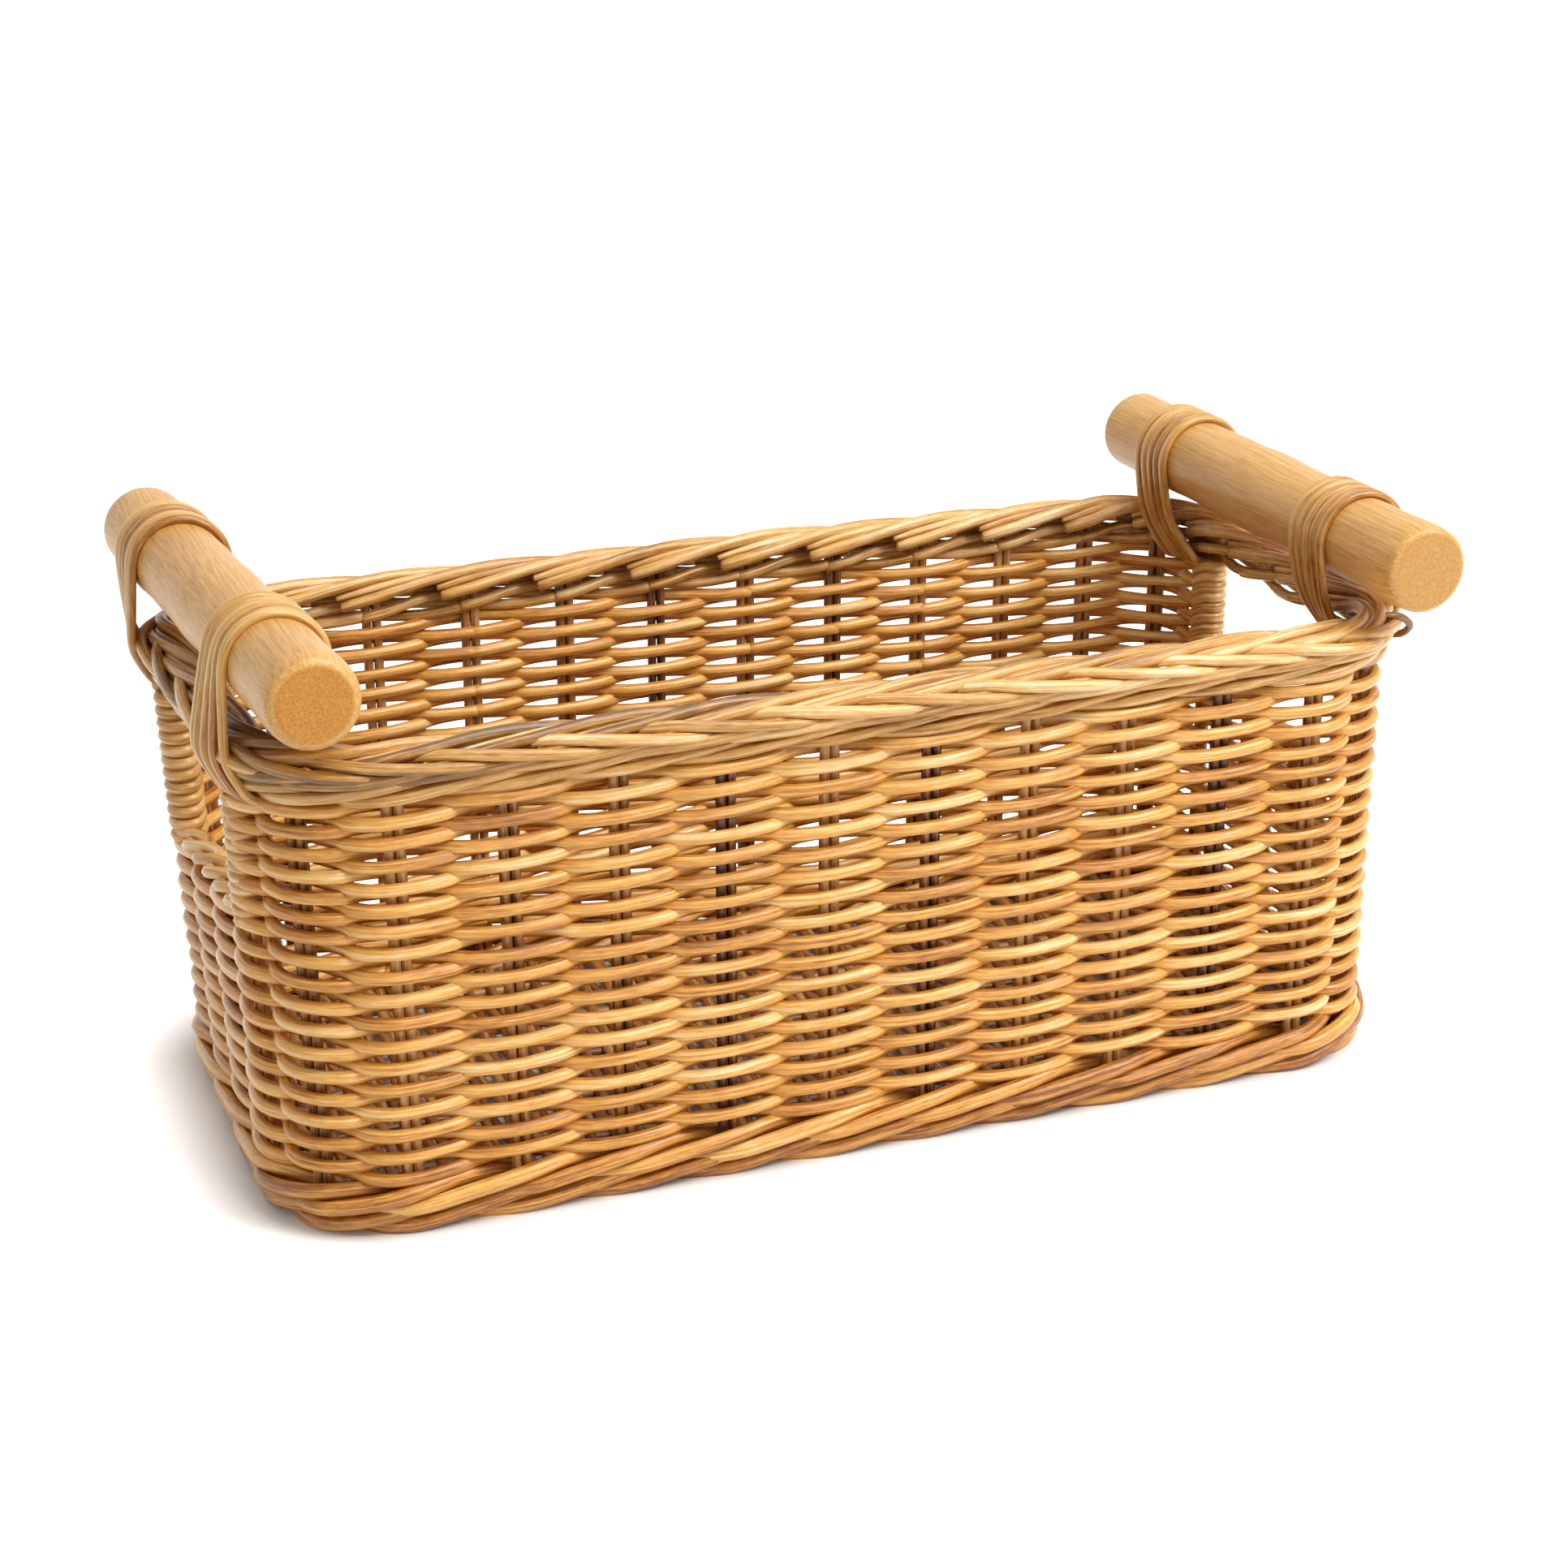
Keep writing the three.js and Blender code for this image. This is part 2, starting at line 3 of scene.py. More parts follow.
import bpy
import numpy as np
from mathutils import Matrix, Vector


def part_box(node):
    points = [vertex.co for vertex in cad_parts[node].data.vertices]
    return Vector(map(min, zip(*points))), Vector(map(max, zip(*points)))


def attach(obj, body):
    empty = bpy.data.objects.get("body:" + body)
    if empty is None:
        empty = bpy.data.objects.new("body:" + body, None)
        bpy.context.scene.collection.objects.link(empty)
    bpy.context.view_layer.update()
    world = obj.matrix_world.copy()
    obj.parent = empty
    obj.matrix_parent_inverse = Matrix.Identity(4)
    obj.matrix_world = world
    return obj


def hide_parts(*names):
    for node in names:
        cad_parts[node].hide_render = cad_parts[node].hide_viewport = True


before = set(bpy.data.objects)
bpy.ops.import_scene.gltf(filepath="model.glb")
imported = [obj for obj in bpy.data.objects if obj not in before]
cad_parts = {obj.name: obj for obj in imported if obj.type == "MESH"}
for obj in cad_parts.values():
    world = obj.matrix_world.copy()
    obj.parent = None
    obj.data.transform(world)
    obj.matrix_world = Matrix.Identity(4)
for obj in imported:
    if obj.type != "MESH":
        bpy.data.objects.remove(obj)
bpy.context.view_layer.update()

# Camera, at the photograph's viewing angle
view_azimuth = math.radians(-21)
view_elevation = math.radians(21)
view_distance = 0.98
view_target = Vector((0.0, 0.0, 0.095))
lens_length = 66

view_direction = Vector((
    math.sin(view_azimuth) * math.cos(view_elevation),
    -math.cos(view_azimuth) * math.cos(view_elevation),
    math.sin(view_elevation),
))
camera = bpy.data.objects.new("camera", bpy.data.cameras.new("camera"))
camera.data.lens = lens_length
camera.location = view_target + view_direction * view_distance
camera.rotation_euler = (-view_direction).to_track_quat("-Z", "Y").to_euler()
bpy.context.collection.objects.link(camera)
bpy.context.scene.camera = camera
bpy.context.scene.view_settings.view_transform = "Standard"

# Lengths below are in metres, and a tone is a place on the ramp of colours of a material. Values named
# tones, spread or pairs are ranges that the values of single strands are drawn from.

# Heights from the frame
waling_low, waling_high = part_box("top_waling")
rows_top = waling_low[2]
waling_top = waling_high[2]

# Every strand: its faces, its rounded ends, the start of its noise, and how far it wanders
tube_sides = 8
end_reach = 0.35
end_share = 0.6
noise_start = (0, 20)
wander_waves = (0.37, 0.83, 1.7)
out_wander = 0.0002
up_wander = 0.0003

# Painted shade: how much darker a strand is drawn at its lower and its upper edge, where it meets its
# neighbours
lower_painted_shade = 0.29
upper_painted_shade = 0.14

# Stakes: sway along the wall and bow across it, each a stretch of waves and how far it reaches
rod_radius = 0.00175
rod_half_gap = 0.0017
rod_spread = (0.94, 1.04)
rod_choices = (0.12, 0.45, 0.6, 0.7)
rod_tone_shift = 0.12
rod_sway = (9, 0.00008)
rod_bow = (7, 0.00015)
rod_points = 24
hidden_length = 0.001
end_wall_limit = 0.7

# Woven walls: reach and rise of a stroke, and how the strands of a row follow each other
strand_radius = 0.00215
strand_pitch = 0.00365
strand_spread = (0.94, 1.04)
strand_tones = (0.36, 0.7)
row_reach = 0.0036
row_rise = 0.0004
stroke_power = 0.7
bulge_share = 0.1
swell_wander = 0.04
points_per_stake = 12
fewest_steps = 4
first_pairs = (0, 4)
strand_pairs = (2, 6)
panel_pairs = (2, 5)
longest_rest = 12
panel_margin = 0.04

# Waling under the border, and the two courses of the foot
waling_strands = 3
waling_radius = 0.00205
waling_lift = 0.0042
foot_radius = 0.0026
waling_spread = (0.94, 1.05)
waling_span = (-0.9, 2.1)
waling_points = 31
waling_course = {"middle": rows_top + waling_lift, "reach": 0.0042, "tones": (0.35, 0.75)}
# The courses of the foot are given lower tones than the walls, the lower course the lowest, as painted
# shade low down and under the foot
upper_course = {"middle": 0.0112, "reach": 0.0052, "tones": (0.2, 0.6)}
lower_course = {"middle": 0.0052, "reach": 0.0042, "tones": (0.08, 0.42), "inset": 0.0008}

# Path of a waling strand: place in stakes, share of the reach, and rise in thicknesses of the strand
waling_keys = (
    (-1.0, -0.95, 0.0),
    (-0.5, 0.0, -0.62),
    (0.0, 0.92, -0.5),
    (0.5, 1.05, 0.0),
    (1.0, 0.92, 0.5),
    (1.5, 0.0, 0.62),
    (2.0, -0.95, 0.0),
    (2.5, 0.0, -0.62),
    (3.0, 0.92, -0.5),
    (3.5, 1.05, 0.0),
)

# Paths in the border: place in stakes, distance out from the stakes, and height above the waling
over_keys = (
    (-0.2, 0.0024, 0.0008),
    (0.2, 0.0050, 0.0018),
    (0.8, 0.0066, 0.0030),
    (1.3, 0.0058, 0.0046),
    (1.75, 0.0040, 0.0070),
    (2.3, 0.0030, 0.0093),
    (2.8, -0.0002, 0.0105),
    (3.3, -0.0040, 0.0096),
    (3.75, -0.0062, 0.0071),
    (4.1, -0.0060, 0.0044),
    (4.3, -0.0048, 0.0028),
)
filler_keys = (
    (1.9, 0.0024, 0.0076),
    (2.4, 0.0014, 0.0088),
    (2.9, -0.0012, 0.0094),
    (3.4, -0.0040, 0.0082),
    (3.8, -0.0052, 0.0060),
)
under_keys = (
    (0.0, -0.0024, 0.0046),
    (0.4, 0.0014, 0.0072),
    (0.8, 0.0048, 0.0081),
    (1.3, 0.0076, 0.0068),
    (1.9, 0.0080, 0.0048),
    (2.4, 0.0050, 0.0032),
)
loop_keys = (
    (0.12, 0.0040, 0.0090),
    (0.26, 0.0100, 0.0078),
    (0.38, 0.0132, 0.0036),
    (0.48, 0.0108, -0.0002),
    (0.60, 0.0050, -0.0015),
)

# Rods of the border: path, lag in stakes, radius, spread of the radius, and taper at both ends
border_rods = (
    (over_keys, 0.0, 0.0022, (0.9, 1.06), 0.0),
    (filler_keys, 0.55, 0.0016, (0.9, 1.1), 0.3),
    (under_keys, 0.6, 0.0022, (0.9, 1.04), 0.35),
)
loop_radius = 0.0013
loop_tone = 0.0
loop_points = 24
border_steps_per_stake = 11
border_wander = 0.00025
taper_power = 4
grey_share = 0.06
left_grey_share = 0.34
grey_tones = (0.08, 0.24)
pale_tones = (0.4, 0.8)

# Wrapped posts: the strand steps up within a part of each turn
wrap_pitch = 0.0039
wrap_radius = 0.0023
wrap_half_width = 0.0052
wrap_half_depth = 0.0041
wrap_tone = 0.6
points_per_wrap = 20
step_start = 0.35
step_length = 0.3

# Sills of the hand holes
sill_half_turn = 0.017
sill_half_depth = 0.0033
sill_half_height = 0.0012
sill_points = 120

# Base
base_pitch = 0.0041
base_radius = 0.0019
base_spread = (0.95, 1.04)
base_tones = (0.2, 0.8)
base_rise = 0.0021
base_corner = 0.024
base_margin = 0.001
base_points = 44
base_sides = 6
stick_tones = (0.3, 0.7)
stick_points = 40

# Poles: shift and turn of each, rounding of its ends, height of its knot, and phase of its long wave
pole_forms = {
    "pole_left": (-0.003, math.radians(4.2), 0.0036, 0.0, 0.0),
    "pole_right": (0.0, 0.0, 0.0022, 0.0006, 0.54),
}
knot_place = 0.55
knot_length = 0.12
long_wave = (17, 0.00022)
short_wave = (41, 0.00016)
end_rings = (0.0, 0.5, 0.92)
edge_points = 6
pole_rings = 60
pole_sides = 64

# Lashings: heights are above the waling, and a bend is a share of the way from rim to pole and a height
lashing_turns = 5
lashing_half_band = 0.0022
lashing_thickness = 0.0015
lashing_reach = 0.0112
lashing_half_height = 0.0072
lashing_height = 0.0058
lashing_bends = ((0.75, 0.0155), (0.45, 0.0075))
lashing_tones = (0.3, 0.75)
lashing_sway = (6, 0.00012)
# Share of the painted shade on the edges where a lashing turn meets the turns beside it
lashing_painted_shade = 0.75
lashing_sides = 12
loop_corners = 72
smoothings = 4
tuck_half_width = 0.0045
gather_height = 0.025
gather_length = 0.03

# How much the turns of a lashing draw together below the pole, and how far they shift there
usual_gather = (0.2, 0.0)
front_left_gather = (-0.1, -0.005)

# Skew of the left end
left_lean = 0.0075
even_lean = 0.65
rim_height = 0.15
sill_fall = 0.0052
sill_height = 0.0915
skew_power = 4

# Stage: the floor with its glow near the basket, held low there as a painted shadow round the
# footprint, and far from it, and the background
floor_reach = 6.0
floor_colour = (0.85, 0.85, 0.85, 1)
floor_finish = {"Roughness": 0.9, "Specular IOR Level": 0.1}
# Width of the painted shadow band round the footprint, where the glow rises from near to far
painted_shadow_width = 0.034
near_glow = 0.02
far_glow = 0.85
unseen_level = 0.47
unseen_tint = (1, 0.94, 0.84, 1)
white = (1, 1, 1, 1)

# Lamps: name, place, width and power
lamps = (
    ("key_lamp", (0.86, -0.76, 1.0), 0.4, 9.0),
    ("top_lamp", (0.42, -0.5, 1.65), 1.0, 19),
)

# Trial places on the line of the stakes
line_tries = 20001

chance = np.random.default_rng(7)
full_turn = 2 * math.pi
lengthwise = np.array((1.0, 0.0, 0.0))
crosswise = np.array((0.0, 1.0, 0.0))
upward = np.array((0.0, 0.0, 1.0))


# The line that the stakes stand on: a rectangle with rounded corners
def middle_of(node):
    low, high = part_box(node)
    return (Vector(low) + Vector(high)) / 2


half_length = middle_of("stake_pair_right_1").x
half_width = middle_of("stake_pair_back_01").y
straight_x = abs(middle_of("stake_pair_back_10").x)
corner_radius = half_length - straight_x
straight_y = half_width - corner_radius

corner_length = corner_radius * math.pi / 2
side_lengths = [2 * straight_x, corner_length, 2 * straight_y, corner_length] * 2
line_knots = np.concatenate(([0.0], np.cumsum(side_lengths)))
line_length = line_knots[-1]
centre_x = straight_x * np.array((-1, 1, 1, 1, 1, -1, -1, -1, -1))
centre_y = straight_y * np.array((-1, -1, -1, 1, 1, 1, 1, -1, -1))
facing = math.pi / 2 * np.array((-1, -1, 0, 0, 1, 1, 2, 2, 3))


def outward(distance):
    angle = np.interp(np.mod(distance, line_length), line_knots, facing)
    return np.stack((np.cos(angle), np.sin(angle), np.zeros_like(angle)), axis=-1)


# The basket is hand-made: its left end leans out at the top, most at the back, and the lower edge of
# the left hand hole falls towards the back
def lean(y, z):
    return -left_lean * (even_lean + (1 - even_lean) * y / half_width) * z / rim_height


def skewed(points):
    x, y, z = np.moveaxis(points, -1, 0)
    share = np.clip(-x / half_length, 0, 1) ** skew_power
    level = np.minimum(z / sill_height, (rows_top - z) / (rows_top - sill_height))
    drop = -sill_fall * np.clip(y / straight_y, -1, 1) * np.clip(level, 0, 1)
    return np.stack((x + share * lean(y, z), y, z + share * drop), axis=-1)


def on_line(distance, offset, height):
    place = np.mod(distance, line_length)
    x = np.interp(place, line_knots, centre_x)
    y = np.interp(place, line_knots, centre_y)
    middle = np.stack((x, y, np.zeros_like(x) + height), axis=-1)
    return skewed(middle + outward(distance) * (corner_radius + offset)[..., None])


def distance_of(node):
    tries = np.linspace(0, line_length, line_tries)
    points = on_line(tries, np.zeros_like(tries), 0.0)
    spot = middle_of(node)
    gaps = np.hypot(points[:, 0] - spot.x, points[:, 1] - spot.y)
    return float(tries[int(np.argmin(gaps))])


# Stakes are numbered along the line, and a place between two of them is a number with a fraction
stake_names = sorted(
    (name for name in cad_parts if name.startswith("stake_pair_")),
    key=distance_of,
)
stake_count = len(stake_names)
stake_places = np.array([distance_of(name) for name in stake_names])
stake_numbers = np.arange(-stake_count, 2 * stake_count)
stake_distances = np.concatenate((
    stake_places - line_length,
    stake_places,
    stake_places + line_length,
))


def along(number):
    return np.interp(number, stake_numbers, stake_distances)


def stake_number(node):
    return stake_names.index(node)


def stake_distance(node):
    return stake_distances[stake_count + stake_number(node)]


# Meshes
def new_mesh(name, points, faces, material):
    mesh = bpy.data.meshes.new(name)
    mesh.from_pydata(np.asarray(points).tolist(), [], faces)
    mesh.polygons.foreach_set("use_smooth", [True] * len(mesh.polygons))
    mesh.materials.append(material)
    return mesh


def place_piece(name, mesh, nodes):
    piece = bpy.data.objects.new(name, mesh)
    bpy.context.collection.objects.link(piece)
    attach(piece, "root")
    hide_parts(*nodes)


def sleeve_faces(start, rings, sides):
    faces = []
    for ring in range(rings - 1):
        near = start + ring * sides
        far = near + sides
        for side in range(sides):
            after = (side + 1) % sides
            faces.append((near + side, far + side, far + after, near + after))
    return faces


def cap_faces(start, rings, sides):
    centre = start + rings * sides
    last = centre - sides
    faces = []
    for side in range(sides):
        after = (side + 1) % sides
        faces.append((centre, start + side, start + after))
        faces.append((centre + 1, last + after, last + side))
    return faces


# Strands are tubes swept along points, gathered into one mesh for each piece
def unit(vectors):
    return vectors / np.linalg.norm(vectors, axis=1, keepdims=True)


def run_along(path):
    steps = np.linalg.norm(np.diff(path, axis=0), axis=1)
    return np.concatenate(([0.0], np.cumsum(steps)))


def with_rounded_ends(path, heading, radius):
    before = path[0] - heading[0] * radius[0] * end_reach
    after = path[-1] + heading[-1] * radius[-1] * end_reach
    path = np.concatenate(([before], path, [after]))
    heading = np.concatenate((heading[:1], heading, heading[-1:]))
    radius = np.concatenate(([radius[0] * end_share], radius, [radius[-1] * end_share]))
    return path, heading, radius


class Bundle:
    def __init__(self):
        self.points = []
        self.faces = []
        self.lay = []
        self.tones = []
        self.count = 0

    def tube(self, path, radius, tone, across=upward, flatness=1.0, sides=tube_sides, painted_shade_share=1.0):
        radius = np.broadcast_to(np.asarray(radius, dtype=float), (len(path),))
        heading = unit(np.gradient(path, axis=0))
        path, heading, radius = with_rounded_ends(path, heading, radius)
        aside = unit(np.cross(heading, across))
        above = np.cross(aside, heading)
        angle = np.linspace(0, full_turn, sides, endpoint=False)
        right = radius[:, None] * np.cos(angle) * flatness
        rise = radius[:, None] * np.sin(angle)
        rings = path[:, None] + right[..., None] * aside[:, None] + rise[..., None] * above[:, None]
        run = run_along(path) + chance.uniform(*noise_start)
        lay = np.stack((np.broadcast_to(run[:, None], right.shape), right, rise), axis=-1)
        # Painted shade: the tone is lowered towards the edges where a strand meets its neighbours, most
        # on the lower edge
        painted_shade = np.where(np.sin(angle) < 0, lower_painted_shade, upper_painted_shade) * np.sin(angle) ** 2
        tones = np.broadcast_to(tone - painted_shade_share * painted_shade, right.shape)
        self.points += [rings.reshape(-1, 3), path[[0, -1]]]
        self.lay += [lay.reshape(-1, 3), np.array(((run[0], 0, 0), (run[-1], 0, 0)))]
        self.tones += [tones.ravel(), [tone, tone]]
        self.faces += sleeve_faces(self.count, len(path), sides)
        self.faces += cap_faces(self.count, len(path), sides)
        self.count += len(path) * sides + 2

    def piece(self, name, material, slot, nodes):
        mesh = new_mesh(name, np.concatenate(self.points), self.faces, material)
        lay = mesh.attributes.new("lay", "FLOAT_VECTOR", "POINT")
        lay.data.foreach_set("vector", np.concatenate(self.lay).ravel())
        tone = mesh.attributes.new("tone", "FLOAT", "POINT")
        tone.data.foreach_set("value", np.concatenate(self.tones))
        place_piece(name, mesh, nodes)


def wander(number, reach):
    swing = np.zeros_like(number)
    for waves in wander_waves:
        swing += np.sin(number * waves + chance.uniform(0, full_turn)) * reach / 2
    return swing


def smooth_curve(keys, samples):
    keys = np.asarray(keys, dtype=float)
    slopes = np.gradient(keys[:, 1:], keys[:, 0], axis=0)
    place = np.clip(np.searchsorted(keys[:, 0], samples, side="right") - 1, 0, len(keys) - 2)
    span = keys[place + 1, 0] - keys[place, 0]
    part = ((samples - keys[place, 0]) / span)[:, None]
    first = keys[place, 1:]
    last = keys[place + 1, 1:]
    out = slopes[place] * span[:, None]
    into = slopes[place + 1] * span[:, None]
    return (
        first * (2 * part ** 3 - 3 * part ** 2 + 1)
        + out * (part ** 3 - 2 * part ** 2 + part)
        + last * (3 * part ** 2 - 2 * part ** 3)
        + into * (part ** 3 - part ** 2)
    )


# Colours are given as a screen shows them
full_value = 255
display_gamma = 2.2


# Shader nodes of a material or a world
def new_material(name):
    material = bpy.data.materials.new(name)
    material.use_nodes = True
    return material, material.node_tree.nodes["Principled BSDF"]


def paint(owner, kind, **settings):
    node = owner.node_tree.nodes.new(kind)
    for key, value in settings.items():
        setattr(node, key, value)
    return node


def set_inputs(node, values):
    for key, value in values.items():
        node.inputs[key].default_value = value


def link(owner, source, target):
    owner.node_tree.links.new(source, target)


def linear(red, green, blue):
    return [(value / full_value) ** display_gamma for value in (red, green, blue)] + [1.0]


def noise(owner, source, scale, detail):
    stretch = paint(owner, "ShaderNodeVectorMath", operation="MULTIPLY")
    stretch.inputs[1].default_value = scale
    link(owner, source, stretch.inputs[0])
    cloud = paint(owner, "ShaderNodeTexNoise")
    set_inputs(cloud, {"Scale": 1.0, "Detail": detail})
    link(owner, stretch.outputs[0], cloud.inputs["Vector"])
    return cloud.outputs["Fac"]


def add_share(owner, base, change, share):
    node = paint(owner, "ShaderNodeMath", operation="MULTIPLY_ADD")
    node.inputs[1].default_value = share
    link(owner, change, node.inputs[0])
    link(owner, base, node.inputs[2])
    shift = paint(owner, "ShaderNodeMath", operation="SUBTRACT")
    shift.inputs[1].default_value = share / 2
    link(owner, node.outputs[0], shift.inputs[0])
    return shift.outputs[0]


def ramp(owner, factor, stops):
    node = paint(owner, "ShaderNodeValToRGB")
    colours = node.color_ramp.elements
    while len(colours) < len(stops):
        colours.new(0.5)
    for element, (place, colour) in zip(colours, stops):
        element.position = place
        element.color = linear(*colour)
    link(owner, factor, node.inputs[0])
    return node.outputs[0]


def colour_mix(owner, factor):
    node = paint(owner, "ShaderNodeMix", data_type="RGBA")
    link(owner, factor, node.inputs[0])
    first, second = (socket for socket in node.inputs if socket.type == "RGBA")
    result = next(socket for socket in node.outputs if socket.type == "RGBA")
    return first, second, result


# Cane: a noise is its scale along and across the strand and its detail
fibre_noise = ((22, 1050, 1050), 3)
patch_noise = ((38, 260, 260), 2)
fleck_noise = ((190, 1500, 1500), 2)
fibre_share = 1.4
patch_share = 0.6
fleck_share = 0.7
fibre_bump = {"Strength": 0.5, "Distance": 0.0004}
cane_roughness = 0.42
cane_coat = 0.35
coat_roughness = 0.22


def cane(name, stops, roughness=cane_roughness, coat=cane_coat):
    material, shader = new_material(name)
    lay = paint(material, "ShaderNodeAttribute", attribute_name="lay").outputs["Vector"]
    # The tone attribute holds each strand's own tone less the painted shade at its edges
    tone = paint(material, "ShaderNodeAttribute", attribute_name="tone").outputs["Fac"]
    fibre = noise(material, lay, *fibre_noise)
    mixed = add_share(material, tone, fibre, fibre_share)
    mixed = add_share(material, mixed, noise(material, lay, *patch_noise), patch_share)
    mixed = add_share(material, mixed, noise(material, lay, *fleck_noise), fleck_share)
    link(material, ramp(material, mixed, stops), shader.inputs["Base Color"])
    bump = paint(material, "ShaderNodeBump")
    set_inputs(bump, fibre_bump)
    link(material, fibre, bump.inputs["Height"])
    link(material, bump.outputs[0], shader.inputs["Normal"])
    set_inputs(shader, {"Roughness": roughness, "Coat Weight": coat})
    set_inputs(shader, {"Coat Roughness": coat_roughness})
    return material


honey = cane("honey_cane", (
    (0.0, (142, 82, 26)),
    (0.3, (206, 138, 56)),
    (0.6, (236, 178, 88)),
    (1.0, (251, 224, 172)),
))
straw = cane("straw_cane", (
    (0.0, (116, 80, 32)),
    (0.25, (176, 122, 52)),
    (0.6, (222, 170, 94)),
    (1.0, (246, 220, 174)),
))
brown = cane("brown_rods", (
    (0.0, (92, 54, 26)),
    (0.4, (172, 118, 60)),
    (1.0, (232, 186, 122)),
), roughness=0.45, coat=0.3)
dark_weave = cane("base_cane", (
    (0.0, (108, 66, 34)),
    (0.5, (168, 112, 60)),
    (1.0, (214, 164, 100)),
))
split_cane = cane("lashing_cane", (
    (0.0, (146, 90, 30)),
    (0.4, (208, 154, 76)),
    (1.0, (244, 208, 142)),
))

# Pole wood: fine grain along the pole, and pores on its sawn ends
grain_noise = ((1300, 34, 1300), 4)
grain_flecks = ((2600, 120, 2600), 2)
grain_clouds = ((40, 12, 40), 2)
grain_share = 0.5
pore_scale = 1200
end_range = {"From Min": 0.93, "From Max": 0.99}
pole_finish = {"Roughness": 0.45, "Coat Weight": 0.2, "Coat Roughness": 0.3}
skin_colours = (
    (0.1, (176, 116, 50)),
    (0.4, (206, 152, 80)),
    (0.6, (220, 171, 100)),
    (0.95, (234, 195, 132)),
)


def pole_skin(material, place):
    mixed = noise(material, place, *grain_noise)
    for layer in (grain_flecks, grain_clouds):
        mixed = add_share(material, mixed, noise(material, place, *layer), grain_share)
    return ramp(material, mixed, skin_colours)


def pole_end(material, place, end_colours):
    pores = paint(material, "ShaderNodeTexVoronoi")
    set_inputs(pores, {"Scale": pore_scale})
    link(material, place, pores.inputs["Vector"])
    return ramp(material, pores.outputs["Distance"], end_colours)


def is_end(material, normal):
    parts = paint(material, "ShaderNodeSeparateXYZ")
    link(material, normal, parts.inputs[0])
    flat = paint(material, "ShaderNodeMath", operation="ABSOLUTE")
    link(material, parts.outputs[1], flat.inputs[0])
    share = paint(material, "ShaderNodeMapRange")
    set_inputs(share, end_range)
    link(material, flat.outputs[0], share.inputs["Value"])
    return share.outputs[0]


def pole_material(name, end_colours):
    material, shader = new_material(name)
    spot = paint(material, "ShaderNodeTexCoord")
    place = spot.outputs["Object"]
    first, second, result = colour_mix(material, is_end(material, spot.outputs["Normal"]))
    link(material, pole_skin(material, place), first)
    link(material, pole_end(material, place, end_colours), second)
    link(material, result, shader.inputs["Base Color"])
    set_inputs(shader, pole_finish)
    return material


left_wood = pole_material("left_pole_rattan", (
    (0.0, (156, 94, 20)),
    (0.3, (186, 120, 30)),
    (1.0, (206, 144, 48)),
))
right_wood = pole_material("right_pole_rattan", (
    (0.0, (170, 112, 46)),
    (0.3, (192, 138, 66)),
    (1.0, (206, 156, 84)),
))


# Stakes: two rods side by side, out of sight in the border and the foot
def stakes():
    bundle = Bundle()
    share = np.linspace(0, 1, rod_points)
    for node in stake_names:
        low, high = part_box(node)
        bottom = low[2] - hidden_length
        top = high[2] + hidden_length
        height = bottom + (top - bottom) * share
        middle = stake_distance(node)
        on_long_wall = abs(outward(middle)[0]) < end_wall_limit
        pair_tone = chance.choice(rod_choices)
        for side in (-1, 1):
            place = middle + side * rod_half_gap + wander(share * rod_sway[0], rod_sway[1])
            path = on_line(place, wander(share * rod_bow[0], rod_bow[1]), height)
            radius = rod_radius * chance.uniform(*rod_spread)
            tone = pair_tone + chance.uniform(-rod_tone_shift, rod_tone_shift)
            bundle.tube(path, radius, tone, across=lengthwise if on_long_wall else crosswise)
    bundle.piece("stakes", brown, "stake", stake_names)


# Rows of plain weave: each strand passes outside one pair of stakes and inside the next, and the
# strand above it does the opposite
def row_strand(bundle, middle, turn, first, last):
    steps = max(fewest_steps, round((last - first) * points_per_stake))
    number = np.linspace(first, last, steps + 1)
    angle = math.pi * (number + turn)
    side = np.cos(angle)
    stroke = np.sign(side) * np.abs(side) ** stroke_power
    offset = row_reach * stroke + wander(number, out_wander)
    height = middle + row_rise * np.sin(angle) + wander(number, up_wander)
    swell = 1 + bulge_share * (1 - np.abs(side)) + wander(number, swell_wander)
    radius = strand_radius * chance.uniform(*strand_spread) * swell
    tone = chance.uniform(*strand_tones)
    bundle.tube(on_line(along(number), offset, height), radius, tone)


# A strand passes an even number of stakes, so both its ends lie inside the wall
def strand_ends(turn):
    first = int(chance.integers(*first_pairs)) * 2 + 1 - turn
    ends = [first]
    while ends[-1] < first + stake_count - longest_rest:
        ends.append(ends[-1] + int(chance.integers(*strand_pairs)) * 2)
    return ends + [first + stake_count]


def closed_row(bundle, middle, turn):
    ends = strand_ends(turn)
    for first, last in zip(ends, ends[1:]):
        row_strand(bundle, middle, turn, first - stake_count / 2, last - stake_count / 2)


def panel_row(bundle, middle, turn, start, end):
    split = start + int(chance.integers(*panel_pairs)) * 2 + 1 - (turn + start) % 2
    row_strand(bundle, middle, turn, start + panel_margin, split)
    row_strand(bundle, middle, turn, split, end - panel_margin)


def row_levels(node):
    low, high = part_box(node)
    rows = round((high[2] - low[2]) / strand_pitch)
    pitch = (high[2] - low[2]) / rows
    return [low[2] + pitch * (row + 0.5) for row in range(rows)]


def lower_wall():
    bundle = Bundle()
    for row, level in enumerate(row_levels("lower_weave")):
        closed_row(bundle, level, row % 2)
    bundle.piece("lower_weave_strands", honey, "weave", ["lower_weave"])


def upper_wall(node, start, end):
    bundle = Bundle()
    for row, level in enumerate(row_levels(node)):
        panel_row(bundle, level, row % 2, start, end)
    bundle.piece(node + "_strands", honey, "weave", [node])


def upper_walls():
    front_left = stake_number("stake_pair_post_front_left") - stake_count
    front_right = stake_number("stake_pair_post_front_right")
    upper_wall("upper_weave_front", front_left, front_right)
    back_right = stake_number("stake_pair_post_back_right")
    back_left = stake_number("stake_pair_post_back_left")
    upper_wall("upper_weave_back", back_right, back_left)


